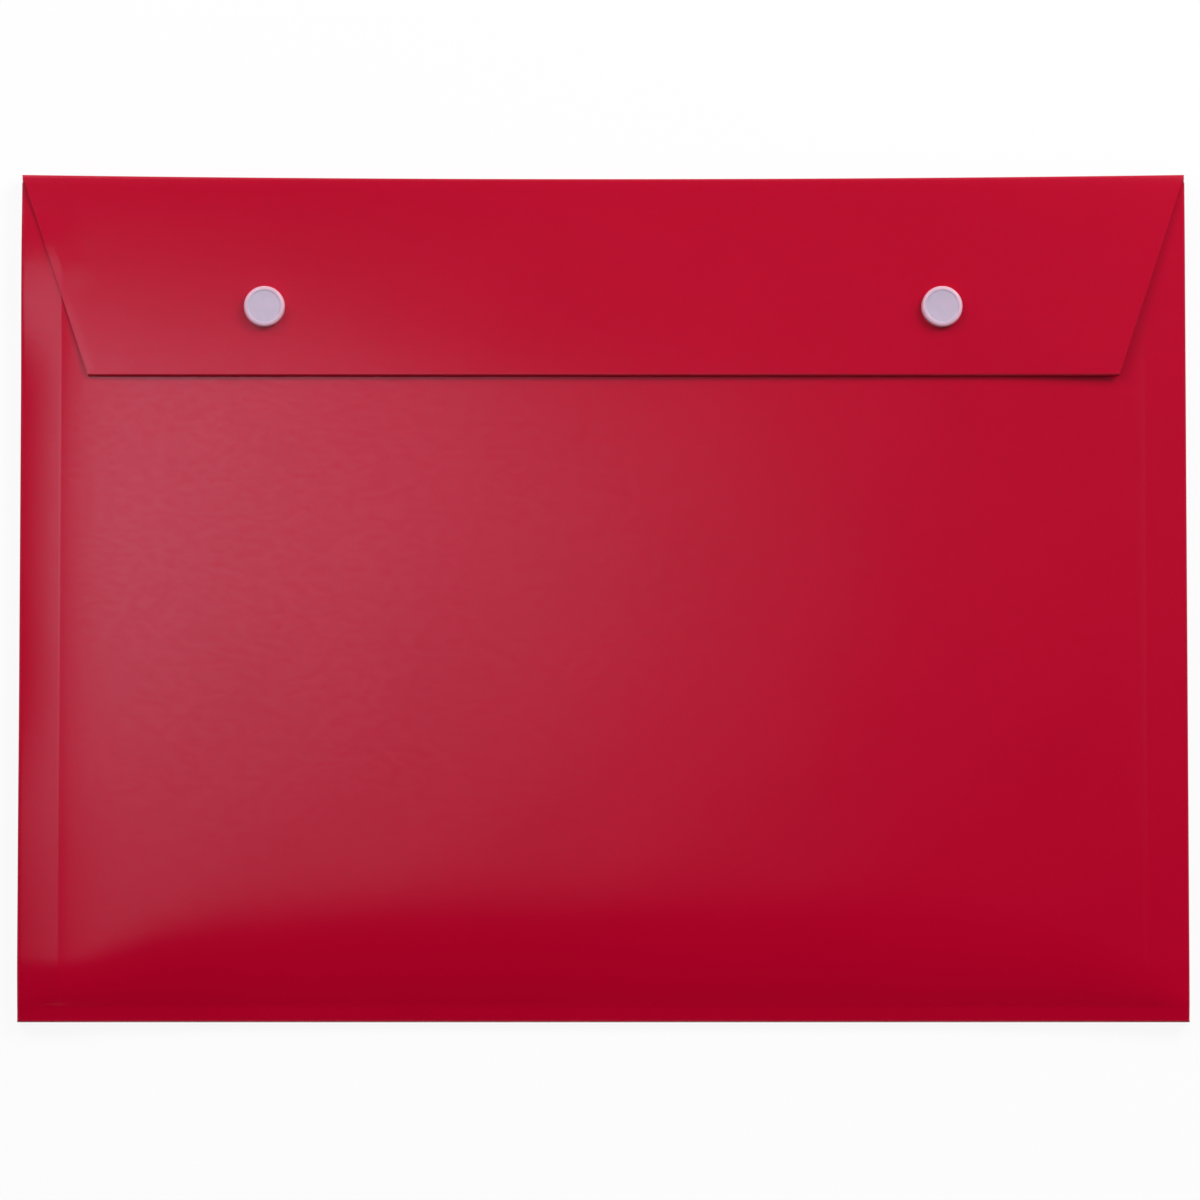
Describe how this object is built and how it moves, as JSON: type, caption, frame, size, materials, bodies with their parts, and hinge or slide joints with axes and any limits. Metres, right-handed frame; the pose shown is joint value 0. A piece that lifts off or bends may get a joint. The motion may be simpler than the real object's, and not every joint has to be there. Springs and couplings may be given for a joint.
{
  "type": "document wallet",
  "caption": "Landscape A4 document wallet of folded satin plastic sheet, with a tapered flap that opens about the creases of its top spine and is held shut by snap fasteners.",
  "frame": {"origin": "middle of the wallet's outline, on the underside of the back panel that rests on the table", "axes": "+X along the top edge to the right as the flap is seen, +Y towards the flap's fold, +Z out of the table"},
  "size_m": [0.33, 0.24, 0.0098],
  "materials": {
    "red_sheet": "satin",
    "white_snap": "satin"
  },
  "bodies": {
    "pocket": {"back_panel": "red_sheet", "bottom_spine": "red_sheet", "left_side_wall": "red_sheet", "right_side_wall": "red_sheet", "left_weld_tab": "red_sheet", "right_weld_tab": "red_sheet", "front_panel": "red_sheet", "left_snap_stud": "white_snap", "right_snap_stud": "white_snap", "left_stud_backing": "white_snap", "right_stud_backing": "white_snap"},
    "spine": {"top_spine": "red_sheet"},
    "flap": {"closing_flap": "red_sheet", "left_snap_cap": "white_snap", "right_snap_cap": "white_snap", "left_snap_socket": "white_snap", "right_snap_socket": "white_snap"}
  },
  "joints": [
    {"name": "spine_fold", "type": "hinge", "parent": "pocket", "child": "spine", "pos_m": [0, 0.11975, 0.00025], "axis": [-1, 0, 0], "range_deg": [0, 100.8]},
    {"name": "flap_fold", "type": "hinge", "parent": "spine", "child": "flap", "pos_m": [0, 0.118, 0.00665], "axis": [-1, 0, 0], "range_deg": [0, 72]}
  ],
  "couplings": [
    {"joint": "spine_fold", "follows": "flap_fold", "ratio": 1.4}
  ]
}
